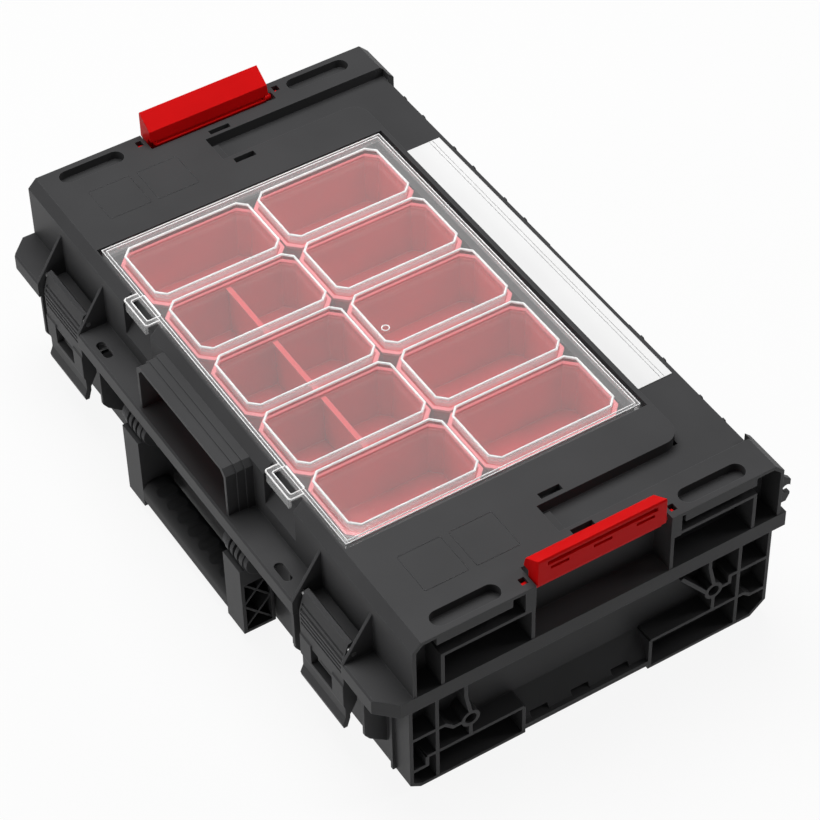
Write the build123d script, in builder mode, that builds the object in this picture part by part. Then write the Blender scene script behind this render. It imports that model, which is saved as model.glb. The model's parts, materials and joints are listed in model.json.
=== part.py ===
# Stackable tool box whose lid is an organiser. Millimetres.
# X runs along the length, -Y is the front with the handle, Z is up.
# The origin is on the floor, midway along the length and midway between the lid's walls.
from build123d import *
from math import atan2, degrees
import os

os.makedirs("parts", exist_ok=True)

# Lid and base outline
flange_half = 292.5
flange_front = -183.7
flange_rear = 171.5
flange_corner = 15.5
seam_z = 102.3
flange_top = 117.0
plate = 3.0
skin = 2.5
rib = 3.0
lid_top = 173.2
lid_front = -157.5
lid_rear = 166.0
lid_end = 292.0
lid_core_end = 271.0
front_bevel = 7.5
rear_bevel = 8.3

base_end = 284.0
base_core_end = 267.0
base_front = -157.0
base_rear = 167.0
base_rim = 113.0
base_cage_top = 101.0

# Rear hinge of the lid
hinge_y = 172.5
hinge_z = 102.0
hinge_pin_r = 2.0
knuckle_r = 5.0
knuckle_width = 24.0
cheek_gap = 1.0
cheek_thick = 3.0
cheek_foot = 4.6
running = 0.05
side_knuckles = (133.0, 209.5)
extra_knuckle = -57.75

# Front latches
latch_x = 202.0
latch_half = 30.5
latch_cheek_half = 34.0
latch_cheek_thick = 2.6
latch_y = -174.0
latch_z = 123.0
latch_pin_r = 2.0
notch_rear = -166.0
window_half = 15.0
window_low = 65.0
window_high = 81.0
catch_half = 13.0
catch_tip = -174.9

# Carrying handle
handle_y = -172.0
handle_z = 87.0
barrel_r = 12.5
handle_pin_r = 3.0
arm_inner = 67.0
arm_outer = 92.5
arm_front = -187.0
arm_rear = -159.0
arm_low = 8.0
arm_high = 79.5
grip_width = 26.0
grip_round = 9.0
grip_y = -174.0
grip_z = 21.0
wave_depth = 1.2
wave_r = 14.0
bearing_thick = 4.5
side_gap = 0.5

# End clips
clip_x = 283.0
clip_z = 167.0
clip_pin_r = 3.0
clip_low_y = -52.5
clip_high_y = 58.5
clip_hole_low_y = -53.5
clip_hole_high_y = 64.5
socket_depth = 9.0

# Organiser tray, bins and clear cover
columns = 5
column_pitch = 72.0
row_pitch = 121.25
row_mid = -17.75
bin_gap_x = 2.0
bin_gap_y = 1.75
bin_x = column_pitch - bin_gap_x
bin_y = row_pitch - bin_gap_y
bin_wall = 1.6
bin_corner = 9.0
bin_top = 165.6
tray_margin = 1.0
tray_half = columns * column_pitch / 2 + tray_margin
tray_front = row_mid - row_pitch - tray_margin
tray_rear = row_mid + row_pitch + tray_margin
seat_half = tray_half + 7.5
seat_front = tray_front - 9.0
seat_rear = tray_rear + 11.0
seat_z = 166.2
cover_half = seat_half - 3.3
cover_front = seat_front + 2.9
cover_rear = seat_rear - 4.2
cover_top = 174.0
cover_skin = 1.8
cover_low = 167.2
cover_hinge_y = cover_rear - 3.8
cover_hinge_z = 170.4
cover_pin_r = 1.8
cover_relief = 1.4
window_x = bin_x - 7.5
window_y = bin_y - 8.0
tab_x = 108.4
tab_half = 18.0

# Channel round the top, with its white insert
channel_z = 163.0
channel_front = 119.5
channel_rear = 160.0
arm_in_x = 228.5
arm_out_x = 258.0
arm_start_y = -11.0
plateau_corner = 15.0
strip_half = 164.0
strip_front = 121.5
strip_rear = 156.5
strip_thick = 0.8

# Hood in front of the middle bins
hood_half = 68.7
hood_front = -180.0
hood_top = 164.0
hood_cut = 5.0
hood_steps = ((0.9, -171.0), (1.8, -164.0))


def save(part, name):
    part.label = name
    export_step(part, f"parts/{name}.step")
    print(name, "valid", part.is_valid, "volume", round(part.volume))


def knuckle_places():
    places = [extra_knuckle]
    for x in side_knuckles:
        places += [x, -x]
    return places


# Base tub: one half is built from the middle to the right end, then mirrored
base_outline = (
    (base_front, 6),
    (base_front + 9, 0),
    (base_rear - 14, 0),
    (base_rear, 12),
)
foot_low_y, foot_high_y = -57.0, 58.0
boss_places = ((-104, 50), (115, 54))
boss_outer, boss_bore = 8.0, 5.0
end_rib_paths = (
    ((-133, 2), (-133, base_cage_top)),
    ((138, 2), (138, base_cage_top)),
    ((-142, 31), (foot_low_y, 31)),
    ((foot_high_y, 32), (145, 32), (151, 27), (base_rear - 2, 27)),
    ((base_front + 2, 21), (-142, 21), (-142, 31)),
    ((base_front + 2, 57), (-126, 57), (-119, 50), (-104 - boss_outer + 1, 50)),
    ((-104, 50 + boss_outer - 1), (-108, 78), (-108, base_cage_top)),
    ((-104, 50 - boss_outer + 1), (-104, 32)),
    ((115, 54 + boss_outer - 1), (110, 83), (110, base_cage_top)),
    ((115 - boss_outer + 1, 56), (84, 86)),
    ((115 + boss_outer - 1, 54), (130, 54), (130, 62), (base_rear - 2, 62)),
    ((115, 54 - boss_outer + 1), (115, 33)),
    ((foot_low_y, 2), (foot_low_y, 31)),
    ((foot_high_y, 2), (foot_high_y, 32)),
)
foot_profile = (
    (base_core_end - 1, 34),
    (base_end - 4, 10),
    (base_end, 9),
    (base_end, 4),
    (base_end - 5, 4),
    (base_end - 5, 0.5),
    (base_core_end - 1, 0.5),
)
catch_profile = (
    (base_front + 1, 84),
    (catch_tip, 72),
    (catch_tip, window_low + 1.2),
    (base_front + 1, window_low + 1.2),
)
guard_profile = (
    (base_front + 1, base_cage_top),
    (base_front - 19, base_cage_top),
    (base_front - 19, 46),
    (base_front - 15, 40),
    (base_front + 1, 27),
)
guard_offset = 49.5
web_profile = (
    (base_rear - 1, hinge_z - 20),
    (base_rear - 1, hinge_z + knuckle_r),
    (hinge_y, hinge_z + knuckle_r),
    (hinge_y + knuckle_r, hinge_z),
)
bearing_places = (
    (arm_inner - side_gap - bearing_thick, arm_inner - side_gap),
    (arm_outer + side_gap, arm_outer + side_gap + bearing_thick),
)

with BuildPart() as base_half:
    with BuildSketch(Plane.YZ):
        with BuildLine():
            Polyline(*base_outline, (base_rear, base_rim), (base_front, base_rim), close=True)
        make_face()
    extrude(amount=base_core_end)
    with BuildSketch(Plane.YZ):
        with BuildLine():
            Polyline(*base_outline, (base_rear, base_rim + 9), (base_front, base_rim + 9), close=True)
        make_face()
        offset(amount=-skin, kind=Kind.INTERSECTION, mode=Mode.REPLACE)
    extrude(amount=base_core_end - skin, mode=Mode.SUBTRACT)
    # open ribbed end wall
    with BuildSketch(Plane.YZ.offset(base_core_end - 0.5)):
        with BuildLine():
            Polyline(*base_outline, (base_rear, base_cage_top), (base_front, base_cage_top), close=True)
        make_face()
        offset(amount=-rib, kind=Kind.INTERSECTION, mode=Mode.SUBTRACT)
        for path in end_rib_paths:
            with BuildLine():
                Polyline(*path)
            trace(line_width=rib)
        with Locations(*boss_places):
            Circle(boss_outer)
            Circle(boss_bore, mode=Mode.SUBTRACT)
    extrude(amount=base_end - base_core_end + 0.5)
    # foot recess with its leaning wall, lip and undercut
    foot_mid = (foot_low_y + foot_high_y) / 2
    foot_length = foot_high_y - foot_low_y - rib
    with Locations(((base_core_end + base_end + 1) / 2, foot_mid, 20)):
        Box(base_end + 1 - base_core_end, foot_length, 42, mode=Mode.SUBTRACT)
    with BuildSketch(Plane.XZ.offset(-foot_mid)):
        with BuildLine():
            Polyline(*foot_profile, close=True)
        make_face()
    extrude(amount=foot_length / 2 + 1, both=True)
    with Locations(*[(base_end - 5, y, 11.5) for y in (-40, -3, 33.5)]):
        Box(12, 16, 4, mode=Mode.SUBTRACT)
    # latch catch and guard fins
    with BuildSketch(Plane.YZ.offset(latch_x)):
        with BuildLine():
            Polyline(*catch_profile, close=True)
        make_face()
    extrude(amount=catch_half, both=True)
    for x in (latch_x - guard_offset, latch_x + guard_offset):
        with BuildSketch(Plane.YZ.offset(x)):
            with BuildLine():
                Polyline(*guard_profile, close=True)
            make_face()
        extrude(amount=rib / 2, both=True)
    # handle bearings
    for x_in, x_out in bearing_places:
        with BuildSketch(Plane.YZ.offset(x_in)):
            with Locations((handle_y, handle_z)):
                Circle(barrel_r - 1)
            with Locations(((base_front + 1 + handle_y) / 2, handle_z - 3)):
                Rectangle(base_front + 1 - handle_y, 2 * barrel_r)
            with Locations((handle_y, handle_z)):
                Circle(handle_pin_r, mode=Mode.SUBTRACT)
        extrude(amount=x_out - x_in)
    # front wall ribs below the flange
    with Locations(*[(x, base_front - 1, base_cage_top / 2) for x in (121, 263)]):
        Box(rib, 4, base_cage_top - 14)
    mirror(about=Plane.YZ)

with BuildPart() as base_tub:
    add(base_half.part)
    for x in knuckle_places():
        with BuildSketch(Plane.YZ.offset(x)):
            with BuildLine():
                Polyline(*web_profile, close=True)
            make_face()
            with Locations((hinge_y, hinge_z)):
                Circle(knuckle_r)
                Circle(hinge_pin_r, mode=Mode.SUBTRACT)
        extrude(amount=knuckle_width / 2, both=True)
save(base_tub.part, "base_tub")

with BuildPart() as lid_hinge_pins:
    for x in knuckle_places():
        with BuildSketch(Plane.YZ.offset(x)):
            with Locations((hinge_y, hinge_z)):
                Circle(hinge_pin_r)
        extrude(amount=knuckle_width / 2 + cheek_gap + cheek_thick, both=True)
save(lid_hinge_pins.part, "lid_hinge_pins")

with BuildPart() as handle_pins:
    for side in (1, -1):
        with BuildSketch(Plane.YZ.offset(side * bearing_places[0][0])):
            with Locations((handle_y, handle_z)):
                Circle(handle_pin_r)
        extrude(amount=side * (bearing_places[1][1] - bearing_places[0][0]))
save(handle_pins.part, "handle_pins")

# Lid shell: one half is built from the middle to the right end, then mirrored
lid_outline = (
    (lid_front, seam_z + 10),
    (lid_front, lid_top - front_bevel),
    (lid_front + front_bevel, lid_top),
    (lid_rear - rear_bevel, lid_top),
    (lid_rear, lid_top - rear_bevel),
    (lid_rear, seam_z + 10),
)
flange_outline = (
    (0, flange_front),
    (flange_half - flange_corner, flange_front),
    (flange_half, flange_front + flange_corner),
    (flange_half, flange_rear),
    (0, flange_rear),
)
lid_end_ribs = (
    ((-132.5, flange_top - 1), (-132.5, 149), (-56, 149)),
    ((-55.5, flange_top - 1), (-55.5, lid_top - 1)),
    ((66, flange_top - 1), (66, lid_top - 1)),
    ((66, 152.5), (140.5, 152.5), (140.5, flange_top - 1)),
)
socket_spans = (
    (clip_hole_low_y - socket_depth, clip_hole_low_y),
    (clip_hole_high_y, clip_hole_high_y + socket_depth),
)
slot_places = ((279.2, -105.3), (279.2, 108.8))
slot_length, slot_width, slot_deep = 58.0, 15.0, 8.0
pit_places = ((221.8, 5.8), (263.5, 5.0))
pit_low_y, pit_high_y = -4.0, 15.0
pit_z = lid_top - 6.0
under_skin_z = channel_z - skin
top_core_z = lid_top - plate
cheek_profile = (
    (lid_front + 1, 157),
    (lid_front, 157),
    (flange_front, flange_top - 1),
    (flange_front, seam_z),
    (lid_front - 0.5, seam_z),
    (lid_front - 0.5, 113.5),
    (lid_front + 1, 113.5),
)
hinge_cheek_profile = (
    (channel_rear - 1, channel_z),
    (channel_rear + 1.5, channel_z),
    (hinge_y + 5.5, hinge_z + 4),
    (hinge_y + 5.5, hinge_z - 2),
    (hinge_y + 2, hinge_z - cheek_foot),
    (hinge_y - 2, hinge_z - cheek_foot),
    (base_rear + 0.6, hinge_z - 1.5),
    (base_rear + 0.6, base_rim + 0.6),
    (channel_rear - 1, base_rim + 0.6),
)

# Cored pockets under the lid: x from, x to, y from, y to, ceiling
tray_side = tray_half + skin
cores = (
    (tray_side, lid_core_end - skin, lid_front + skin, lid_rear - 9, under_skin_z),
    (seat_half + skin, arm_in_x - skin, seat_front, channel_front - skin, top_core_z),
    (arm_out_x + skin, lid_core_end - skin, lid_front + 10, 150, top_core_z),
    (arm_in_x - rib, arm_out_x + rib, lid_front + 10, arm_start_y - rib, top_core_z),
    (hood_half + skin, 84, lid_front + skin, tray_front - skin, under_skin_z),
    (84, 133, lid_front + skin, tray_front - skin, 128),
    (133, tray_side, lid_front + skin, tray_front - skin, under_skin_z),
    (0, tray_side, tray_rear + skin, lid_rear - 9, under_skin_z),
)


def cut_block(x1, x2, y1, y2, z1, z2):
    with Locations(((x1 + x2) / 2, (y1 + y2) / 2, (z1 + z2) / 2)):
        Box(x2 - x1, y2 - y1, z2 - z1, mode=Mode.SUBTRACT)


def add_block(x1, x2, y1, y2, z1, z2):
    with Locations(((x1 + x2) / 2, (y1 + y2) / 2, (z1 + z2) / 2)):
        Box(x2 - x1, y2 - y1, z2 - z1)


def hood_outline(grow, x_in, z_low):
    half, top = hood_half + grow, hood_top + grow
    return (x_in, z_low), (half, z_low), (half, top - hood_cut), (half - hood_cut, top), (x_in, top)


with BuildPart() as lid_half:
    # flange with its skirt
    with BuildSketch(Plane.XY.offset(seam_z)):
        with BuildLine():
            Polyline(*flange_outline, close=True)
        make_face()
    extrude(amount=flange_top - seam_z)
    front_edge = lid_half.edges().group_by(Axis.Z)[-1].filter_by(Axis.X).sort_by(Axis.Y)[0]
    chamfer(front_edge, 1.5)
    with BuildSketch(Plane.XY.offset(seam_z)):
        with BuildLine():
            Polyline(*flange_outline, close=True)
        make_face()
        offset(amount=-plate, kind=Kind.INTERSECTION, mode=Mode.REPLACE)
        with Locations((plate, (flange_front + flange_rear) / 2)):
            Rectangle(4 * plate, flange_rear - flange_front - 2 * plate)
    extrude(amount=flange_top - plate - seam_z, mode=Mode.SUBTRACT)
    # raised body
    with BuildSketch(Plane.YZ):
        with BuildLine():
            Polyline(*lid_outline, close=True)
        make_face()
        with Locations((0, seam_z + 10)):
            Rectangle(500, 2 * (flange_top - plate - seam_z - 10), mode=Mode.SUBTRACT)
    extrude(amount=lid_core_end)
    cut_block(-1, arm_out_x - 8, channel_rear, lid_rear + 1, flange_top, lid_top + 1)
    for x1, x2, y1, y2, z_top in cores:
        cut_block(x1, x2, y1, y2, seam_z, z_top)
    # open ribbed end
    with BuildSketch(Plane.YZ.offset(lid_core_end - 0.5)):
        with BuildLine():
            Polyline(*lid_outline, close=True)
        make_face()
        offset(amount=-plate, kind=Kind.INTERSECTION, mode=Mode.SUBTRACT)
        for path in lid_end_ribs:
            with BuildLine():
                Polyline(*path)
            trace(line_width=rib)
        for y1, y2 in socket_spans:
            with Locations(((y1 + y2) / 2, (150 + lid_top) / 2)):
                Rectangle(y2 - y1, lid_top - 150)
        for x, y in slot_places:
            with Locations((y, lid_top - (slot_deep + skin) / 2)):
                Rectangle(slot_length + 6, slot_deep + skin)
        with Locations((0, seam_z + 5)):
            Rectangle(500, 2 * (flange_top - plate - seam_z - 5), mode=Mode.SUBTRACT)
    extrude(amount=lid_end - lid_core_end + 0.5)
    cut_block(lid_core_end + 0.5, lid_end + 1, clip_hole_low_y, clip_hole_high_y, flange_top, lid_top + 1)
    # long slots in the end plates, with their shallow tubs
    with BuildSketch(Plane.XY.offset(lid_top)):
        with Locations(*slot_places):
            SlotOverall(slot_length, slot_width, rotation=90)
    extrude(amount=-slot_deep, mode=Mode.SUBTRACT)
    # clip sockets with their inspection holes
    with BuildSketch(Plane.XZ.offset(-clip_hole_low_y + socket_depth - 1.0)):
        with Locations((clip_x, clip_z)):
            Circle(clip_pin_r + running)
    extrude(amount=-(clip_hole_high_y - clip_hole_low_y + 2 * socket_depth - 2.0), mode=Mode.SUBTRACT)
    with Locations((clip_x, -59, lid_top - 2.5), (clip_x, 70.3, lid_top - 2.5)):
        Box(6.5, 5.5, 7, mode=Mode.SUBTRACT)
    # channel round the top
    with BuildSketch(Plane.XY.offset(channel_z)) as channel:
        with BuildLine():
            Polyline(
                (-1, channel_front),
                (arm_in_x, channel_front),
                (arm_in_x, arm_start_y),
                (arm_out_x, arm_start_y),
                (arm_out_x, channel_rear + 0.5),
                (-1, channel_rear + 0.5),
                close=True,
            )
        make_face()
        fillet(channel.vertices().sort_by_distance((arm_in_x, channel_front, 0))[0], plateau_corner)
    extrude(amount=lid_top - channel_z + 1, mode=Mode.SUBTRACT)
    with BuildSketch(Plane.XZ.offset(-arm_start_y)):
        with BuildLine():
            Polyline(
                (arm_in_x + 4, channel_z - 1),
                (arm_in_x + 4, channel_z + 3),
                (arm_out_x - 4, channel_z + 3),
                (arm_out_x - 4, channel_z - 1),
                close=True,
            )
        make_face()
    extrude(amount=-9)
    # small blind pits beside the channel's two arms
    for x, width in pit_places:
        half = width / 2
        outer = half + skin
        add_block(x - outer, x + outer, pit_low_y - skin, pit_high_y + skin, pit_z - skin, top_core_z + 1)
        cut_block(x - half, x + half, pit_low_y, pit_high_y, pit_z, lid_top + 1)
    # organiser tray and the seat of its cover
    cut_block(-1, tray_half, tray_front, tray_rear, flange_top, lid_top + 1)
    cut_block(-1, seat_half, seat_front, seat_rear, seat_z, lid_top + 1)
    # the rear rim of the cover swings down into this groove
    cut_block(-1, cover_half + 0.5, tray_rear - 1, cover_rear + 2, seat_z - cover_relief, lid_top + 1)
    with BuildSketch(Plane.YZ.offset(seat_half - 1)):
        with Locations((cover_hinge_y, cover_hinge_z)):
            Circle(cover_pin_r + running)
    extrude(amount=5, mode=Mode.SUBTRACT)
    # pockets for the cover's two snap tabs
    with BuildSketch(Plane.YZ.offset(tab_x)):
        with BuildLine():
            Polyline(
                (lid_front - 1, 132),
                (lid_front, 133),
                (lid_front + 11, 148),
                (lid_front + 11, lid_top + 1),
                (lid_front - 1, lid_top + 1),
                close=True,
            )
        make_face()
    extrude(amount=tab_half + 4, both=True, mode=Mode.SUBTRACT)
    # hood in front of the middle bins
    for grow, start in ((0, hood_front), *hood_steps):
        with BuildSketch(Plane.XZ.offset(-start)):
            with BuildLine():
                Polyline(*hood_outline(grow, -1, flange_top - plate), close=True)
            make_face()
        extrude(amount=start - tray_front)
    with BuildSketch(Plane.XZ.offset(-hood_front + 1)):
        with BuildLine():
            Polyline(*hood_outline(-plate, -2, flange_top), close=True)
        make_face()
    extrude(amount=hood_front - tray_front - 2, mode=Mode.SUBTRACT)
    # latch notch, its back wall and the triangular cheeks
    notch_half = latch_cheek_half
    notch_low, notch_high = latch_x - notch_half, latch_x + notch_half
    cut_block(notch_low, notch_high, flange_front - 1, notch_rear, seam_z - 1, flange_top + 1)
    add_block(notch_low, notch_high, notch_rear, notch_rear + skin, seam_z, flange_top - 1)
    for x in (latch_x - notch_half - latch_cheek_thick, latch_x + notch_half):
        with BuildSketch(Plane.YZ.offset(x)):
            with BuildLine():
                Polyline(*cheek_profile, close=True)
            make_face()
        extrude(amount=latch_cheek_thick)
    with BuildSketch(Plane.YZ.offset(latch_x)):
        with Locations((latch_y, latch_z)):
            Circle(latch_pin_r)
    extrude(amount=notch_half + latch_cheek_thick + 1, both=True, mode=Mode.SUBTRACT)
    # oval slots in the flange
    with BuildSketch(Plane.XY.offset(flange_top)):
        with Locations((139, -174)):
            SlotOverall(20, 8)
    extrude(amount=-5, mode=Mode.SUBTRACT)
    # rear strip, end hook
    add_block(99, arm_out_x - 2, channel_rear - 0.5, channel_rear + 3, 152, 159)
    with BuildSketch(Plane.YZ.offset(lid_end - 5)):
        with BuildLine():
            Polyline((165, 158), (174, 150), (174, 134), (171, 128), (165, 128), close=True)
        make_face()
        with Locations((170.5, 141.5)):
            Circle(4, mode=Mode.SUBTRACT)
        with Locations((174, 139.5)):
            Rectangle(7, 6, mode=Mode.SUBTRACT)
    extrude(amount=4)
    mirror(about=Plane.YZ)

with BuildPart() as lid_shell:
    add(lid_half.part)
    add_block(-99, -10, channel_rear - 0.5, channel_rear + 3, 152, 159)
    for x in knuckle_places():
        for side in (1, -1):
            start = x + side * (knuckle_width / 2 + cheek_gap)
            with BuildSketch(Plane.YZ.offset(start)):
                with BuildLine():
                    Polyline(*hinge_cheek_profile, close=True)
                make_face()
            extrude(amount=side * cheek_thick)
        half = knuckle_width / 2 + cheek_gap
        cut_block(x - half, x + half, base_rear + 0.5, flange_rear + 1, seam_z - 1, flange_top - plate)
        with BuildSketch(Plane.YZ.offset(x)):
            with Locations((hinge_y, hinge_z)):
                Circle(hinge_pin_r + running)
        extrude(amount=half + cheek_thick + 1, both=True, mode=Mode.SUBTRACT)
save(lid_shell.part, "lid_shell")

with BuildPart() as label_strip:
    with Locations((0, (strip_front + strip_rear) / 2, channel_z + strip_thick / 2)):
        Box(2 * strip_half, strip_rear - strip_front, strip_thick)
save(label_strip.part, "label_strip")

with BuildPart() as latch_pins:
    for side in (1, -1):
        with BuildSketch(Plane.YZ.offset(side * latch_x)):
            with Locations((latch_y, latch_z)):
                Circle(latch_pin_r)
        extrude(amount=latch_cheek_half + latch_cheek_thick, both=True)
save(latch_pins.part, "latch_pins")

# Bins: tapered cups with cut corners and a rolled rim
bin_base_z = flange_top
bin_taper = 3.0
bin_rim = 0.8
bin_rim_high = 2.0
bin_high = bin_top - bin_base_z
bin_draft = degrees(atan2(bin_taper - bin_rim, bin_high))


def bin_outline(grow):
    with BuildSketch(mode=Mode.PRIVATE) as outline:
        Rectangle(bin_x + 2 * grow, bin_y + 2 * grow)
        chamfer(outline.vertices(), bin_corner)
    return outline.sketch


def drafted_block(grow, low):
    with BuildPart(mode=Mode.PRIVATE) as block:
        with BuildSketch(Plane.XY.offset(bin_top)):
            add(bin_outline(grow))
        extrude(amount=low - bin_top)
        sides = block.faces().filter_by(Axis.Z, reverse=True)
        draft(sides, Plane.XY.offset(bin_top), -bin_draft)
    return block.part


with BuildPart() as bin_master:
    add(drafted_block(-bin_rim, bin_base_z))
    with BuildSketch(Plane.XY.offset(bin_top)):
        add(bin_outline(0))
    extrude(amount=-bin_rim_high)
    add(drafted_block(-bin_rim - bin_wall, bin_base_z + bin_wall), mode=Mode.SUBTRACT)

column_places = [(column - (columns - 1) / 2) * column_pitch for column in range(columns)]
row_places = {"front": row_mid - row_pitch / 2, "rear": row_mid + row_pitch / 2}
for row, y in row_places.items():
    for number, x in enumerate(column_places, 1):
        save(Pos(x, y, 0) * bin_master.part, f"bin_{row}_{number}")

# Dividers across three of the front bins
divider_half = bin_x / 2 - bin_rim - bin_wall - 0.8
divider_low_half = bin_x / 2 - bin_taper - bin_wall - 0.6
divider_top = cover_low - 4
divider_thick = 1.6
divider_bead = 4.4
divider_bead_high = 1.6
with BuildPart() as divider_master:
    with BuildSketch(Plane.XZ):
        with BuildLine():
            Polyline(
                (-divider_low_half, bin_base_z + bin_wall + 0.3),
                (divider_low_half, bin_base_z + bin_wall + 0.3),
                (divider_half, divider_top),
                (-divider_half, divider_top),
                close=True,
            )
        make_face()
    extrude(amount=divider_thick / 2, both=True)
    with Locations((0, 0, divider_top - divider_bead_high / 2)):
        Box(2 * divider_half, divider_bead, divider_bead_high)
for number in (2, 3, 4):
    x = column_places[number - 1]
    save(Pos(x, row_places["front"], 0) * divider_master.part, f"divider_{number}")

# Clear cover: a flat sheet with a down-turned rim, ten sunk windows and two snap tabs
cover_mid_y = (cover_front + cover_rear) / 2
cover_depth_y = cover_rear - cover_front
window_places = [(x, y) for x in column_places for y in row_places.values()]
tab_tip = -158.2
tab_low = 163.0


def window_outline(grow):
    with BuildSketch(mode=Mode.PRIVATE) as outline:
        Rectangle(window_x + 2 * grow, window_y + 2 * grow)
        chamfer(outline.vertices(), bin_corner - 2)
    return outline.sketch


with BuildPart() as organizer_cover:
    with BuildSketch(Plane.XY.offset(cover_low)):
        with Locations((0, cover_mid_y)):
            Rectangle(2 * cover_half, cover_depth_y)
    extrude(amount=cover_top - cover_low)
    with BuildSketch(Plane.XY.offset(cover_low)):
        with Locations((0, cover_mid_y)):
            Rectangle(2 * (cover_half - cover_skin), cover_depth_y - 2 * cover_skin)
    extrude(amount=cover_top - cover_skin - cover_low, mode=Mode.SUBTRACT)
    with BuildSketch(Plane.XY.offset(cover_top)):
        with Locations(*window_places):
            add(window_outline(0))
    extrude(amount=-(cover_top - cover_low + 1.5))
    with BuildSketch(Plane.XY.offset(cover_top)):
        with Locations(*window_places):
            add(window_outline(-1.4))
    extrude(amount=-(cover_top - cover_low + 1.5 - 1.2), mode=Mode.SUBTRACT)
    # snap tabs: a bridge over the front edge and a lip that drops into its pocket
    for x in (-tab_x, tab_x):
        with BuildSketch(Plane.XY.offset(cover_top)):
            with Locations((x, (tab_tip + cover_front + 7) / 2)):
                Rectangle(2 * tab_half, cover_front + 7 - tab_tip)
                Rectangle(27, 12, mode=Mode.SUBTRACT)
        extrude(amount=-2.4)
        with Locations((x, tab_tip + 1.2, (cover_top + tab_low) / 2)):
            Box(2 * tab_half - 4, 2.4, cover_top - tab_low)
    # trunnions in the lid's side walls
    for side in (1, -1):
        with BuildSketch(Plane.YZ.offset(side * (cover_half - 2))):
            with Locations((cover_hinge_y, cover_hinge_z)):
                Circle(cover_pin_r)
        extrude(amount=side * (seat_half + 2.5 - cover_half + 2))
save(organizer_cover.part, "organizer_cover")

# Front latches: a leaning ribbed thumb area over a windowed plate with a lip
latch_side_profile = (
    (-181.8, 37),
    (-178.6, 37),
    (-176.0, 46),
    (-175.3, 60),
    (-175.3, 96),
    (-174.0, 100),
    (-168.6, 116),
    (-168.6, 124),
    (-171.5, 129),
    (-175.0, 128),
    (-177.6, 119.5),
    (-180.2, 110),
    (-180.2, 86),
    (-181.2, 84),
    (-181.2, 62),
    (-179.8, 58),
    (-179.8, 48),
    (-182.6, 41),
)
groove_count = 5
groove_top = 117.0
groove_pitch = 4.8
groove_r = 1.5
groove_out = 0.4
thumb_face_y = -180.2
thumb_break_z = 110.0
thumb_lean = 2.6 / 9.5
with BuildPart() as latch_master:
    with BuildSketch(Plane.YZ):
        with BuildLine():
            Polyline(*latch_side_profile, close=True)
        make_face()
    extrude(amount=latch_half, both=True)
    # window and the plain tongue above it
    window_mid = (window_low + window_high) / 2
    with Locations((0, latch_y, window_mid)):
        Box(2 * window_half, 30, window_high - window_low, mode=Mode.SUBTRACT)
    with Locations((0, -181.2, 83)):
        Box(2 * window_half, 2, 8, mode=Mode.SUBTRACT)
    # thumb grooves
    for step in range(groove_count):
        z = groove_top - groove_pitch * step
        y = thumb_face_y - groove_out
        if z > thumb_break_z:
            y += (z - thumb_break_z) * thumb_lean
        with BuildSketch(Plane.YZ):
            with Locations((y, z)):
                Circle(groove_r)
        extrude(amount=latch_half - groove_r, both=True, mode=Mode.SUBTRACT)
    # coring behind the thumb area, split by ribs
    with Locations(*[(x, -170.0, 109.5) for x in (-20, 0, 20)]):
        Box(16, 8, 11, mode=Mode.SUBTRACT)
    # side flanges that stiffen the plate
    for x in (-latch_half + 1.25, latch_half - 1.25):
        with BuildSketch(Plane.YZ.offset(x)):
            with BuildLine():
                Polyline((-175.5, 50), (-169.5, 62), (-169.5, 110), (-175.5, 110), close=True)
            make_face()
        extrude(amount=1.25, both=True)
    with BuildSketch(Plane.YZ):
        with Locations((latch_y, latch_z)):
            Circle(latch_pin_r + running)
    extrude(amount=latch_half + 1, both=True, mode=Mode.SUBTRACT)
save(Pos(latch_x, 0, 0) * latch_master.part, "latch_right")
save(Pos(-latch_x, 0, 0) * latch_master.part, "latch_left")

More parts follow.
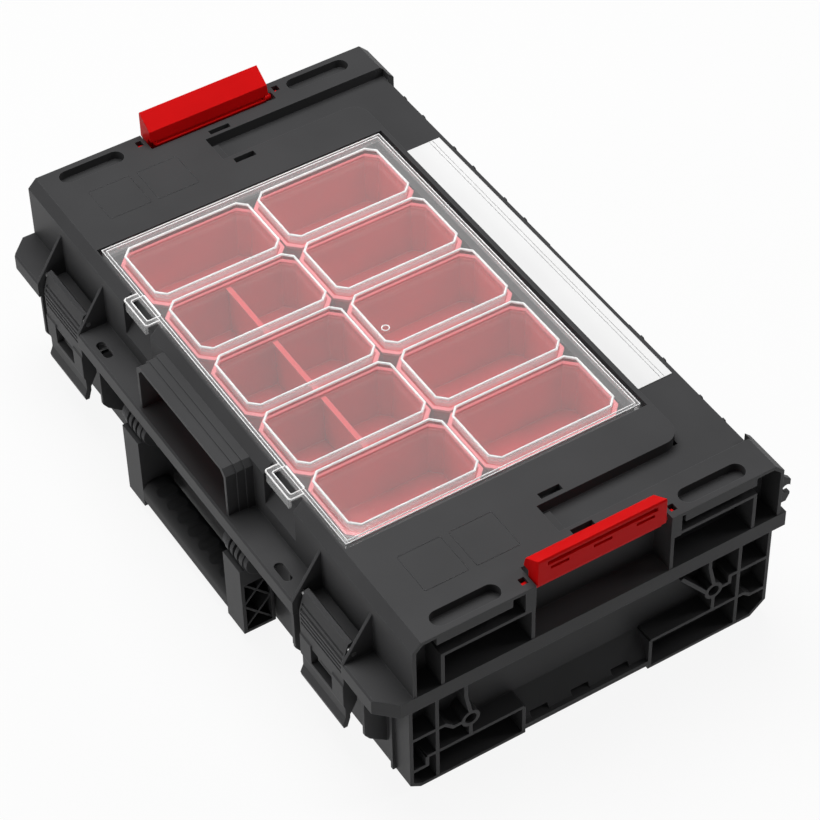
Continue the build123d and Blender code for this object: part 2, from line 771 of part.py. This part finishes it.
# Carrying handle: two cored arms with crossed ribs, knuckle barrels and a bottom bar
arm_wall = 3.0
bar_r = 6.0
knuckle_slot = 3.0
slot_floor_drop = 5.0
with BuildPart() as handle_frame:
    for side in (1, -1):
        with BuildSketch(Plane.YZ.offset(side * arm_inner)):
            with Locations(((arm_front + arm_rear) / 2, (arm_low + arm_high) / 2)):
                Rectangle(arm_rear - arm_front, arm_high - arm_low)
            with Locations((handle_y, handle_z)):
                Circle(barrel_r)
        extrude(amount=side * (arm_outer - arm_inner))
        # the outer side is open, with crossed ribs inside
        with BuildSketch(Plane.YZ.offset(side * arm_outer)):
            with Locations(((arm_front + arm_rear) / 2, (arm_low + arm_high - 14) / 2)):
                Rectangle(arm_rear - arm_front - 2 * arm_wall, arm_high - arm_low - 14 - 2 * arm_wall)
        extrude(amount=-side * (arm_outer - arm_inner - arm_wall), mode=Mode.SUBTRACT)
        low_z, high_z = arm_low + arm_wall, arm_high - 14 - arm_wall
        y1, y2 = arm_front + arm_wall, arm_rear - arm_wall
        bays = 2
        bay = (high_z - low_z) / bays
        with BuildSketch(Plane.YZ.offset(side * arm_inner)):
            for step in range(bays):
                z = low_z + step * bay
                with BuildLine():
                    Polyline((y1 - 1, z), (y2 + 1, z + bay))
                trace(line_width=1.8)
                with BuildLine():
                    Polyline((y1 - 1, z + bay), (y2 + 1, z))
                trace(line_width=1.8)
        extrude(amount=side * (arm_outer - arm_inner - 2))
        # moulded slots round the knuckle
        for step in (-1, 0, 1):
            x = side * ((arm_inner + arm_outer) / 2 + step * 2.2 * knuckle_slot)
            with BuildSketch(Plane.YZ.offset(x)):
                with Locations((handle_y, handle_z)):
                    Circle(barrel_r + 1)
                    RegularPolygon(handle_pin_r + 4, 8, mode=Mode.SUBTRACT)
                with Locations((handle_y, handle_z - slot_floor_drop - barrel_r)):
                    Rectangle(3 * barrel_r, 2 * barrel_r, mode=Mode.SUBTRACT)
            extrude(amount=knuckle_slot / 2, both=True, mode=Mode.SUBTRACT)
    with BuildSketch(Plane.YZ):
        with Locations((grip_y, grip_z)):
            Circle(bar_r)
    extrude(amount=arm_inner + 1, both=True)
    with BuildSketch(Plane.YZ):
        with Locations((handle_y, handle_z)):
            Circle(handle_pin_r + running)
    extrude(amount=arm_outer + 1, both=True, mode=Mode.SUBTRACT)
save(handle_frame.part, "handle_frame")

# Soft grip moulded round the bar, with a row of shallow waves
wave_count = 7
grip_half = arm_inner - 0.2
with BuildPart() as handle_grip:
    with BuildSketch(Plane.YZ):
        with Locations((grip_y, grip_z)):
            RectangleRounded(grip_width, grip_width, grip_round)
            Circle(bar_r, mode=Mode.SUBTRACT)
    extrude(amount=grip_half, both=True)
    wave_pitch = 2 * grip_half / (wave_count + 1)
    wave_out = grip_width / 2 + wave_r - wave_depth
    for step in range(wave_count):
        x = -grip_half + wave_pitch * (step + 1)
        with Locations((x, grip_y, grip_z + wave_out)):
            Cylinder(wave_r, 2 * grip_width, rotation=(90, 0, 0), mode=Mode.SUBTRACT)
save(handle_grip.part, "handle_grip")

# End clips: a lever with a leaning thumb face, on its own trunnions
clip_profile = (
    (272.9, lid_top + 0.4),
    (275.8, 187.0),
    (291.6, 197.5),
    (292.4, 196.0),
    (292.4, 172.6),
    (288.0, 170.6),
    (287.0, 163.8),
    (279.2, 163.8),
    (278.4, 170.6),
)
clip_length = clip_high_y - clip_low_y
clip_mid_y = (clip_low_y + clip_high_y) / 2
with BuildPart() as clip_master:
    with BuildSketch(Plane.XZ.offset(-clip_low_y)):
        with BuildLine():
            Polyline(*clip_profile, close=True)
        make_face()
    extrude(amount=-clip_length)
    # long finger recess and three slots in the outer face
    with Locations((292, clip_mid_y, 192.0)):
        Box(4, clip_length - 16, 4, mode=Mode.SUBTRACT)
    with Locations(*[(292, clip_mid_y + y, 186.0) for y in (-37, 0, 37)]):
        Box(3, 16, 3, mode=Mode.SUBTRACT)
    # groove along the foot of the inner face
    with Locations((273.4, clip_mid_y, 176.0)):
        Box(2, clip_length - 10, 2.6, mode=Mode.SUBTRACT)
    # end notches beside the trunnions
    with Locations((276, clip_low_y, 173.5), (276, clip_high_y, 173.5)):
        Box(8, 8, 9, mode=Mode.SUBTRACT)
    with BuildSketch(Plane.XZ.offset(-clip_hole_low_y + socket_depth - 2.0)):
        with Locations((clip_x, clip_z)):
            Circle(clip_pin_r)
    extrude(amount=-(clip_hole_high_y - clip_hole_low_y + 2 * socket_depth - 4.0))
save(clip_master.part, "clip_right")
with BuildPart() as clip_left:
    add(mirror(clip_master.part, about=Plane.YZ, mode=Mode.PRIVATE))
save(clip_left.part, "clip_left")
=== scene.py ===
# %% [markdown]
# # A stackable tool box with an organiser in its lid
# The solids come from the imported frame, and this file gives them their finish, their small
# moulded marks, a floor, the light and a camera. Everything is in metres, with X along the
# length of the box, Z up, and -Y to the front, where the handle hangs.

# %% Load the frame
import json
import math

import bpy
from mathutils import Matrix, Vector


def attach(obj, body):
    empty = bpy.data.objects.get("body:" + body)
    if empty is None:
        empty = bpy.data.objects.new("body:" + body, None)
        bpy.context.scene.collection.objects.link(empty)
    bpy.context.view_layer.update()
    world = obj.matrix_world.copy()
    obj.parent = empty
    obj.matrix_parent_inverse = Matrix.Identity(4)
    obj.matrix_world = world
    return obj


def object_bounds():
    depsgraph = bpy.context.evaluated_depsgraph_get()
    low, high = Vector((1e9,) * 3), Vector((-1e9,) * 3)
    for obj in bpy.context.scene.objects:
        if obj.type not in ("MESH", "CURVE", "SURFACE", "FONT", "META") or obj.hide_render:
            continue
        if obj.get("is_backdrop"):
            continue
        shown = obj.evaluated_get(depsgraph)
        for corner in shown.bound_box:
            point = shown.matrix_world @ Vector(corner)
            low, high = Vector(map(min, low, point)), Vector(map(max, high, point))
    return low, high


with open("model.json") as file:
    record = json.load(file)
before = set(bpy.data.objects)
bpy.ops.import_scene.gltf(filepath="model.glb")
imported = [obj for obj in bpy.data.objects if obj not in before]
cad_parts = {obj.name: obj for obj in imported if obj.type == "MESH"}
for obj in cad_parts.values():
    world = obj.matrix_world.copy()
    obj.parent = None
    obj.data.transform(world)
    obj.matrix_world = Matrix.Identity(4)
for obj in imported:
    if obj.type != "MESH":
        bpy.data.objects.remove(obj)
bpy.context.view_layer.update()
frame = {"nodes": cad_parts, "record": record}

MM = 0.001
nodes = frame["nodes"]

# %% [markdown]
# ## Colours
# A designer picks colours as sRGB hex values, as they look on a screen. The shader counts in
# linear light, so one function turns the one into the other.


# %% Colour helper
def linear(hex_colour):
    channels = [int(hex_colour[i:i + 2], 16) / 255 for i in (1, 3, 5)]
    curve = [c / 12.92 if c <= 0.04045 else ((c + 0.055) / 1.055) ** 2.4 for c in channels]
    return (*curve, 1.0)


# %% [markdown]
# ## One small helper for shader nodes
# It adds a node, sets its plain properties, then fills each input with a value or a link.


# %% Node helper
def put(tree, kind, settings=None, **inputs):
    node = tree.nodes.new(kind)
    for key, value in (settings or {}).items():
        setattr(node, key, value)
    for key, value in inputs.items():
        numbered = key[0] == "i" and key[1:].isdigit()
        socket = node.inputs[int(key[1:]) if numbered else key.replace("_", " ")]
        if isinstance(value, bpy.types.NodeSocket):
            tree.links.new(value, socket)
        else:
            socket.default_value = value
    return node


def new_material(name):
    material = bpy.data.materials.new(name)
    material.use_nodes = True
    tree = material.node_tree
    tree.nodes.clear()
    return material, tree


def finish_material(tree, shader):
    output = tree.nodes.new("ShaderNodeOutputMaterial")
    tree.links.new(shader, output.inputs["Surface"])


# %% [markdown]
# ## Moulded polypropylene
# The box is black polypropylene, injection moulded in a tool whose walls were spark eroded.
# That gives a fine, even grain of about half a millimetre and a soft, wide sheen. The grain is
# too fine to show at this distance, so it is drawn at about a millimetre. Every moulded edge
# has a small round, which the bevel node gives to the light without changing the mesh. Where
# the rounded and the flat normal differ is an edge, and there the colour is painted paler, a
# painted highlight for the light the rounds catch. The top few millimetres of a bin's thin rim
# are painted paler as well, a painted highlight for light on and through the rim.


# %% Moulded plastic
GRAIN_MM = 1.1
EDGE_ROUND_MM = 0.7
CLOUDS_PER_METRE = 18.0
EDGE_HIGHLIGHT_MATCH = (0.99, 0.80)
SHEEN_SPREAD = 0.06
PLASTIC_IOR = 1.49


def moulded_plastic(name, colour, edge_highlight_colour, roughness, grain_depth_mm, gloss=0.5, cloud=0.06,
                    rim_highlight_mm=None):
    material, tree = new_material(name)
    place = put(tree, "ShaderNodeTexCoord").outputs["Object"]
    grain = put(tree, "ShaderNodeTexNoise", Vector=place, Scale=1 / (GRAIN_MM * MM), Detail=2.0,
                Roughness=0.6)
    drift = put(tree, "ShaderNodeTexNoise", Vector=place, Scale=CLOUDS_PER_METRE, Detail=2.0)
    rounded = put(tree, "ShaderNodeBevel", {"samples": 4}, Radius=EDGE_ROUND_MM * MM)
    flat = put(tree, "ShaderNodeNewGeometry").outputs["Normal"]
    match = put(tree, "ShaderNodeVectorMath", {"operation": "DOT_PRODUCT"}, i0=rounded.outputs[0],
                i1=flat).outputs["Value"]
    # edge is a painted highlight mask: 0 on flat faces, 1 where the rounded normal turns away
    edge = put(tree, "ShaderNodeMapRange", Value=match, From_Min=EDGE_HIGHLIGHT_MATCH[0],
               From_Max=EDGE_HIGHLIGHT_MATCH[1], To_Min=0.0, To_Max=1.0).outputs[0]
    # a bin's rim top is painted paler by height, a painted highlight for light on and through it
    if rim_highlight_mm:
        height = put(tree, "ShaderNodeSeparateXYZ", Vector=place).outputs["Z"]
        rim = put(tree, "ShaderNodeMapRange", Value=height, From_Min=rim_highlight_mm[0] * MM,
                  From_Max=rim_highlight_mm[1] * MM).outputs[0]
        edge = put(tree, "ShaderNodeMath", {"operation": "MAXIMUM"}, i0=edge, i1=rim).outputs[0]
    shade = put(tree, "ShaderNodeMapRange", Value=drift.outputs["Fac"], From_Min=0.3, From_Max=0.7,
                To_Min=1 - cloud, To_Max=1 + cloud).outputs[0]
    body = put(tree, "ShaderNodeVectorMath", {"operation": "SCALE"}, Vector=linear(colour)[:3],
               Scale=shade).outputs[0]
    # the edge colour paints a highlight along every rounded edge
    highlighted_tint = put(tree, "ShaderNodeMix", {"data_type": "RGBA"}, i0=edge, i6=body,
               i7=linear(edge_highlight_colour)).outputs[2]
    relief = put(tree, "ShaderNodeBump", Strength=0.5, Distance=grain_depth_mm * MM,
                 Height=grain.outputs["Fac"], Normal=rounded.outputs[0])
    sheen = put(tree, "ShaderNodeMapRange", Value=grain.outputs["Fac"],
                To_Min=roughness - SHEEN_SPREAD, To_Max=roughness + SHEEN_SPREAD).outputs[0]
    shader = put(tree, "ShaderNodeBsdfPrincipled", Base_Color=highlighted_tint, Roughness=sheen,
                 IOR=PLASTIC_IOR, Specular_IOR_Level=gloss, Normal=relief.outputs[0])
    finish_material(tree, shader.outputs[0])
    return material


# heights in mm over which a bin's rim is painted paler, a painted highlight
BIN_RIM_HIGHLIGHT_MM = (162.5, 165.4)
# the third colour of each call is its painted edge highlight
black_polypropylene = moulded_plastic("black_polypropylene", "#424243", "#606062", 0.5, 0.05,
                                      gloss=0.12)
soft_grip_rubber = moulded_plastic("soft_grip_rubber", "#262627", "#404042", 0.62, 0.08, gloss=0.25)
red_polypropylene = moulded_plastic("red_polypropylene", "#d60c0e", "#e8211c", 0.42, 0.02,
                                    gloss=0.05)
red_bin_polystyrene = moulded_plastic("red_bin_polystyrene", "#dc2b31", "#f58a90", 0.36, 0.02,
                                      gloss=0.25, rim_highlight_mm=BIN_RIM_HIGHLIGHT_MM)
white_card = moulded_plastic("white_card", "#f4f4f4", "#ffffff", 0.55, 0.01, cloud=0.01)
print("moulded plastics", sum(m.use_nodes for m in bpy.data.materials))

# %% [markdown]
# ## Drawn steel
# The pins are cut from drawn bar, so fine lines run along them and the sheen is stretched.


# %% Drawn steel
STREAKS_PER_METRE = (40.0, 2500.0, 2500.0)
STEEL_ROUGHNESS = (0.28, 0.48)


def drawn_steel(name):
    material, tree = new_material(name)
    place = put(tree, "ShaderNodeTexCoord").outputs["Object"]
    stretched = put(tree, "ShaderNodeMapping", Vector=place, Scale=STREAKS_PER_METRE)
    lines = put(tree, "ShaderNodeTexNoise", Vector=stretched.outputs[0], Scale=1.0, Detail=2.0)
    sheen = put(tree, "ShaderNodeMapRange", Value=lines.outputs["Fac"], To_Min=STEEL_ROUGHNESS[0],
                To_Max=STEEL_ROUGHNESS[1]).outputs[0]
    tone = put(tree, "ShaderNodeMix", {"data_type": "RGBA"}, i0=lines.outputs["Fac"],
               i6=linear("#9c9c9c"), i7=linear("#c9c9c9")).outputs[2]
    shader = put(tree, "ShaderNodeBsdfPrincipled", Base_Color=tone, Roughness=sheen, Metallic=1.0)
    finish_material(tree, shader.outputs[0])
    return material


steel_pin = drawn_steel("drawn_steel")
print("pins", steel_pin.name)

# %% [markdown]
# ## Clear polycarbonate
# The cover is clear polycarbonate with a slight milky haze, so what lies under it looks paler.
# A thin sheet hardly bends what is seen through it, so it is made as a clear film with a
# little white scatter and a polished skin. Side walls and steps are seen edge on, through far
# more plastic, and there the haze grows until they look nearly white. Light on its way to the
# bins passes the sheet almost unchanged, and the polish shows more where the sheet is seen
# at a low angle.


# %% Clear polycarbonate
WAVES_PER_METRE = 30.0
WAVE_DEPTH_MM = 0.2
STEEPNESS = (0.9, 0.3)
POLISH = (0.04, 0.1)
SHINE = (0.02, 0.5)
SHINE_POWER = 3.0
SHADOW_PASSED = 0.92


def hazy_sheet(name, haze_flat, haze_side):
    material, tree = new_material(name)
    place = put(tree, "ShaderNodeTexCoord").outputs["Object"]
    wave = put(tree, "ShaderNodeTexNoise", Vector=place, Scale=WAVES_PER_METRE, Detail=1.0)
    relief = put(tree, "ShaderNodeBump", Strength=0.15, Distance=WAVE_DEPTH_MM * MM,
                 Height=wave.outputs["Fac"])
    normal = put(tree, "ShaderNodeNewGeometry").outputs["True Normal"]
    up = put(tree, "ShaderNodeSeparateXYZ", Vector=normal).outputs["Z"]
    steep = put(tree, "ShaderNodeMath", {"operation": "ABSOLUTE"}, i0=up).outputs[0]
    haze = put(tree, "ShaderNodeMapRange", Value=steep, From_Min=STEEPNESS[0],
               From_Max=STEEPNESS[1], To_Min=haze_flat, To_Max=haze_side).outputs[0]
    polish = put(tree, "ShaderNodeMapRange", Value=wave.outputs["Fac"], To_Min=POLISH[0],
                 To_Max=POLISH[1]).outputs[0]
    clear = put(tree, "ShaderNodeBsdfTransparent", Color=linear("#fdfdfd"))
    milk = put(tree, "ShaderNodeBsdfDiffuse", Color=linear("#ffffff"))
    body = put(tree, "ShaderNodeMixShader", i0=haze, i1=clear.outputs[0], i2=milk.outputs[0])
    skin = put(tree, "ShaderNodeBsdfGlossy", Color=linear("#ffffff"), Roughness=polish,
               Normal=relief.outputs[0])
    grazing = put(tree, "ShaderNodeLayerWeight", Blend=0.5).outputs["Facing"]
    cubed = put(tree, "ShaderNodeMath", {"operation": "POWER"}, i0=grazing,
                i1=SHINE_POWER).outputs[0]
    shine = put(tree, "ShaderNodeMapRange", Value=cubed, To_Min=SHINE[0],
                To_Max=SHINE[1]).outputs[0]
    sheet = put(tree, "ShaderNodeMixShader", i0=shine, i1=body.outputs[0], i2=skin.outputs[0])
    through = put(tree, "ShaderNodeBsdfTransparent", Color=linear("#ffffff"))
    shadow = put(tree, "ShaderNodeLightPath").outputs["Is Shadow Ray"]
    passing = put(tree, "ShaderNodeMath", {"operation": "MULTIPLY"}, i0=shadow,
                  i1=SHADOW_PASSED).outputs[0]
    lit = put(tree, "ShaderNodeMixShader", i0=passing, i1=sheet.outputs[0], i2=through.outputs[0])
    finish_material(tree, lit.outputs[0])
    return material


clear_polycarbonate = hazy_sheet("clear_polycarbonate", 0.10, 0.24)
# the lips are the same sheet made nearly white, a painted highlight for the white lines on the
# cover
highlight_lip = hazy_sheet("clear_polycarbonate_highlight_lip", 0.9, 0.94)
print("clear sheets", clear_polycarbonate.name, highlight_lip.name)

# %% [markdown]
# ## Give each solid its finish
# The record says which slot each node has, so one table from slot to material dresses them all.

# %% Dress the nodes
finishes = {
    "black_polypropylene": black_polypropylene,
    "soft_grip": soft_grip_rubber,
    "red_bin": red_bin_polystyrene,
    "red_lever": red_polypropylene,
    "clear_polycarbonate": clear_polycarbonate,
    "white_sheet": white_card,
    "steel_pin": steel_pin,
}
for part in frame["record"]["subparts"]:
    solid = nodes[part["node"]]
    solid.data.materials.clear()
    solid.data.materials.append(finishes[part["material_slot"]])

# %% [markdown]
# ## A small lip that paints a highlight
# On clear plastic a rounded edge gathers light and draws a white line. Here that line is a
# painted highlight: a curve with a round bevel, in nearly white milky plastic, gives one, since
# it follows cut corners with no mesh made by hand. One helper lists the corners of a rectangle
# whose corners are cut, and another makes the lip from them.


# %% Lip helpers
def cut_rectangle(centre, size, cut):
    half_x, half_y = size[0] / 2, size[1] / 2
    quarter = ((half_x, half_y - cut), (half_x - cut, half_y))
    points = []
    for sign_x, sign_y, order in ((1, 1, 1), (-1, 1, -1), (-1, -1, 1), (1, -1, -1)):
        for x, y in quarter[::order]:
            points.append((centre[0] + sign_x * x, centre[1] + sign_y * y))
    return points


def lip(name, points, height, radius, body, material, closed=True):
    curve = bpy.data.curves.new(name, "CURVE")
    curve.dimensions = "3D"
    curve.bevel_depth = radius * MM
    curve.bevel_resolution = 2
    line = curve.splines.new("POLY")
    line.points.add(len(points) - 1)
    for point, (x, y) in zip(line.points, points):
        point.co = (x * MM, y * MM, height * MM, 1.0)
    line.use_cyclic_u = closed
    piece = bpy.data.objects.new(name, curve)
    bpy.context.scene.collection.objects.link(piece)
    curve.materials.append(material)
    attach(piece, body)
    return piece


# %% [markdown]
# ## Lips round the ten windows
# The cover's windows are sunk into the mouths of the bins, and each has a nearly white lip round
# its mouth, a painted highlight along its edge.
# Their places come from the pitch of the bins, so one loop makes all ten.

# %% Window lips
COLUMNS, COLUMN_PITCH = 5, 72.0
ROW_PITCH, ROW_MIDDLE = 121.25, -17.75
WINDOW_SIZE, WINDOW_CUT = (62.5, 111.5), 7.0
COVER_TOP = 174.0
WINDOW_LIP_R = 1.05

window_centres = [
    ((column - (COLUMNS - 1) / 2) * COLUMN_PITCH, ROW_MIDDLE + side * ROW_PITCH / 2)
    for side in (-1, 1) for column in range(COLUMNS)
]
for number, centre in enumerate(window_centres, 1):
    lip(f"window_lip_{number}", cut_rectangle(centre, WINDOW_SIZE, WINDOW_CUT), COVER_TOP,
        WINDOW_LIP_R, "cover", highlight_lip)
print("window lips", len(window_centres))

# %% [markdown]
# ## Lips along the cover's edge
# The sheet turns down at its edge, so the eye sees two lines there: the outer corner and the
# inner one, a wall's thickness further in. Both are closed lips.

# %% Edge lips
COVER_X, COVER_FRONT, COVER_REAR = 185.2, -146.1, 111.3
EDGE_INSETS = (0.0, 2.6)
LIP_DROP = 0.3
EDGE_LIP_R = 0.6

for number, inset in enumerate(EDGE_INSETS, 1):
    half, front, rear = COVER_X - inset, COVER_FRONT + inset, COVER_REAR - inset
    edge = [(half, front), (half, rear), (-half, rear), (-half, front)]
    lip(f"cover_edge_lip_{number}", edge, COVER_TOP - LIP_DROP, EDGE_LIP_R, "cover", highlight_lip)
print("edge lips", len(EDGE_INSETS))

# %% [markdown]
# ## Lips on the two snap tabs
# Each tab is a flat bridge with a hole for a fingertip. Its rim is an open lip that ends at the
# sheet, and the hole has a closed one.

# %% Tab lips
TAB_X, TAB_HALF, TAB_TIP, TAB_CUT = 108.4, 18.0, -158.2, 1.5
TAB_HOLE_Y, TAB_HOLE, TAB_HOLE_CUT = -148.65, (27.0, 12.0), 1.0
TAB_LIP_R = 0.7

for side, x in (("left", -TAB_X), ("right", TAB_X)):
    low, high = x - TAB_HALF, x + TAB_HALF
    rim = [(low, COVER_FRONT), (low, TAB_TIP + TAB_CUT), (low + TAB_CUT, TAB_TIP),
           (high - TAB_CUT, TAB_TIP), (high, TAB_TIP + TAB_CUT), (high, COVER_FRONT)]
    lip(f"tab_rim_{side}", rim, COVER_TOP - LIP_DROP, TAB_LIP_R, "cover", highlight_lip,
        closed=False)
    mouth = cut_rectangle((x, TAB_HOLE_Y), TAB_HOLE, TAB_HOLE_CUT)
    lip(f"tab_hole_{side}", mouth, COVER_TOP - LIP_DROP, EDGE_LIP_R, "cover", highlight_lip)
print("tab lips at", -TAB_X, TAB_X)

# %% [markdown]
# ## The gate mark
# Where the plastic entered the mould a small ring is left on the floor of one window. It is a
# closed lip through the points of a circle.

# %% Gate mark
GATE_X, GATE_Y, GATE_Z = 5.8, -1.2, 166.9
GATE_R, GATE_SIDES, GATE_LIP_R = 3.0, 16, 0.5

angles = [2 * math.pi * step / GATE_SIDES for step in range(GATE_SIDES)]
ring = [(GATE_X + GATE_R * math.cos(angle), GATE_Y + GATE_R * math.sin(angle)) for angle in angles]
lip("cover_gate_mark", ring, GATE_Z, GATE_LIP_R, "cover", highlight_lip)
print("gate mark at", GATE_X, GATE_Y)

# %% [markdown]
# ## Plain frames on the lid
# Two plain raised frames stand on each side of the lid's top, moulded with it. They are thin
# closed lips in the lid's own plastic.

# %% Plain frames
LID_TOP = 173.2
FRAME_X = (215.0, 253.0)
FRAME_SPANS = ((-78.0, -41.0), (-122.0, -85.0))
FRAME_CUT, FRAME_R = 1.0, 0.35

for side, sign in (("left", -1), ("right", 1)):
    for number, (front, rear) in enumerate(FRAME_SPANS, 1):
        frame_centre = (sign * sum(FRAME_X) / 2, (front + rear) / 2)
        frame_size = (FRAME_X[1] - FRAME_X[0], rear - front)
        corners = cut_rectangle(frame_centre, frame_size, FRAME_CUT)
        lip(f"plain_frame_{side}_{number}", corners, LID_TOP, FRAME_R, "lid", black_polypropylene)
print("plain frames", 2 * len(FRAME_SPANS))

# %% [markdown]
# ## Rules on the insert strip
# The white insert strip has two faint grey lines along it. A thin grey curve half sunk in
# the card draws each.

# %% Strip rules
STRIP_TOP, STRIP_HALF = 163.8, 163.0
RULE_PLACES, RULE_R = (146.5, 149.5), 0.3
pale_rule = moulded_plastic("pale_rule", "#c4c4c4", "#d0d0d0", 0.55, 0.01, cloud=0.01)

for number, y in enumerate(RULE_PLACES, 1):
    lip(f"strip_rule_{number}", [(-STRIP_HALF, y), (STRIP_HALF, y)], STRIP_TOP, RULE_R, "lid",
        pale_rule, closed=False)
print("strip rules", len(RULE_PLACES))

# %% [markdown]
# ## Floor
# The box stands on a plain white ground. The floor is pale, and the camera, glossy faces and
# clear plastic see it nearly white, while the rest of the light sees a plain matt floor, so it
# still carries a soft shadow. It lies a little below the feet, so the two do not flicker.


# %% Floor
FLOOR_HALF = 6.0
FLOOR_DROP = 0.0004
FLOOR_GLOW_SHARE = 0.9
WHITE = (1.0, 1.0, 1.0, 1.0)


def seen_directly(tree):
    path = put(tree, "ShaderNodeLightPath")
    first = put(tree, "ShaderNodeMath", {"operation": "MAXIMUM"}, i0=path.outputs["Is Camera Ray"],
                i1=path.outputs["Is Glossy Ray"])
    return put(tree, "ShaderNodeMath", {"operation": "MAXIMUM"}, i0=first.outputs[0],
               i1=path.outputs["Is Transmission Ray"]).outputs[0]


floor_mesh = bpy.data.meshes.new("floor")
floor_corners = [(x * FLOOR_HALF, y * FLOOR_HALF, -FLOOR_DROP)
                 for x, y in ((-1, -1), (1, -1), (1, 1), (-1, 1))]
floor_mesh.from_pydata(floor_corners, [], [(0, 1, 2, 3)])
floor = bpy.data.objects.new("floor", floor_mesh)
bpy.context.scene.collection.objects.link(floor)
floor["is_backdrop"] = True
floor_paint, tree = new_material("floor_paint")
matt = put(tree, "ShaderNodeBsdfDiffuse", Color=linear("#f2f2f2"))
glow = put(tree, "ShaderNodeEmission", Color=WHITE, Strength=1.0)
share = put(tree, "ShaderNodeMath", {"operation": "MULTIPLY"}, i0=seen_directly(tree),
            i1=FLOOR_GLOW_SHARE)
both = put(tree, "ShaderNodeMixShader", i0=share.outputs[0], i1=matt.outputs[0], i2=glow.outputs[0])
finish_material(tree, both.outputs[0])
floor.data.materials.append(floor_paint)
print("floor", 2 * FLOOR_HALF, "m square")

# %% [markdown]
# ## Light from all round
# The room's own light is weak, so the walls of the box stay darker than its top. The camera
# sees the room as plain white.

# %% World
ROOM_LIGHT = 0.1

world = bpy.data.worlds.new("studio")
world.use_nodes = True
bpy.context.scene.world = world
sky = world.node_tree
sky.nodes.clear()
ambient = put(sky, "ShaderNodeBackground", Color=WHITE, Strength=ROOM_LIGHT)
white = put(sky, "ShaderNodeBackground", Color=WHITE, Strength=1.0)
camera_only = put(sky, "ShaderNodeLightPath").outputs["Is Camera Ray"]
either = put(sky, "ShaderNodeMixShader", i0=camera_only, i1=ambient.outputs[0], i2=white.outputs[0])
sky_out = sky.nodes.new("ShaderNodeOutputWorld")
sky.links.new(either.outputs[0], sky_out.inputs["Surface"])
print("room light", ROOM_LIGHT)

# %% [markdown]
# ## Lamps
# A wide soft lamp hangs above and to the left, so the flat tops are the palest faces. A weaker
# one in front lifts the handle side, and a narrow one behind draws a line along the edges.


# %% Lamps
def lamp(name, place, target, size, power):
    light = bpy.data.lights.new(name, "AREA")
    light.shape = "DISK"
    light.size = size
    light.energy = power
    holder = bpy.data.objects.new(name, light)
    holder.location = place
    aim = Vector(target) - Vector(place)
    holder.rotation_euler = aim.to_track_quat("-Z", "Y").to_euler()
    bpy.context.scene.collection.objects.link(holder)


# place, size in metres and power in watts; all three look at the middle of the box
middle = (0.0, 0.0, 0.1)
lamp("lamp_above", (-0.5, 0.1, 2.0), middle, 1.6, 34.0)
lamp("lamp_front", (-0.6, -2.0, 0.9), middle, 1.4, 11.0)
lamp("lamp_back", (0.7, 1.8, 1.5), middle, 0.8, 9.0)
print("lamps", len(bpy.data.lights))

# %% [markdown]
# ## Camera
# The place, tilt and lens were worked out from the corners of the real box in the picture, as a
# pinhole camera that sees all of them where they are.

# %% Camera
CAMERA_AT = Vector((1.43594, -0.84829, 1.77937))
CAMERA_RIGHT = Vector((0.5332322, 0.8457998, -0.0169160))
CAMERA_DOWN = Vector((0.5993016, -0.3917900, -0.6980961))
CAMERA_AHEAD = Vector((-0.5970771, 0.3621095, -0.7158042))
LENS_MM, SENSOR_MM = 131.83, 36.0

lens = bpy.data.cameras.new("camera")
lens.sensor_width = SENSOR_MM
lens.lens = LENS_MM
camera = bpy.data.objects.new("camera", lens)
turn = Matrix((CAMERA_RIGHT, -CAMERA_DOWN, -CAMERA_AHEAD)).transposed()
camera.matrix_world = Matrix.Translation(CAMERA_AT) @ turn.to_4x4()
bpy.context.scene.collection.objects.link(camera)
bpy.context.scene.camera = camera
bpy.context.scene.view_settings.view_transform = "Standard"
print("camera at", tuple(CAMERA_AT), "lens", LENS_MM, "mm")

# %% [markdown]
# ## Sizes
# The box round everything in the scene but the floor is measured. Nothing here may stand
# outside the solids' own box.

# %% Sizes
low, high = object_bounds()
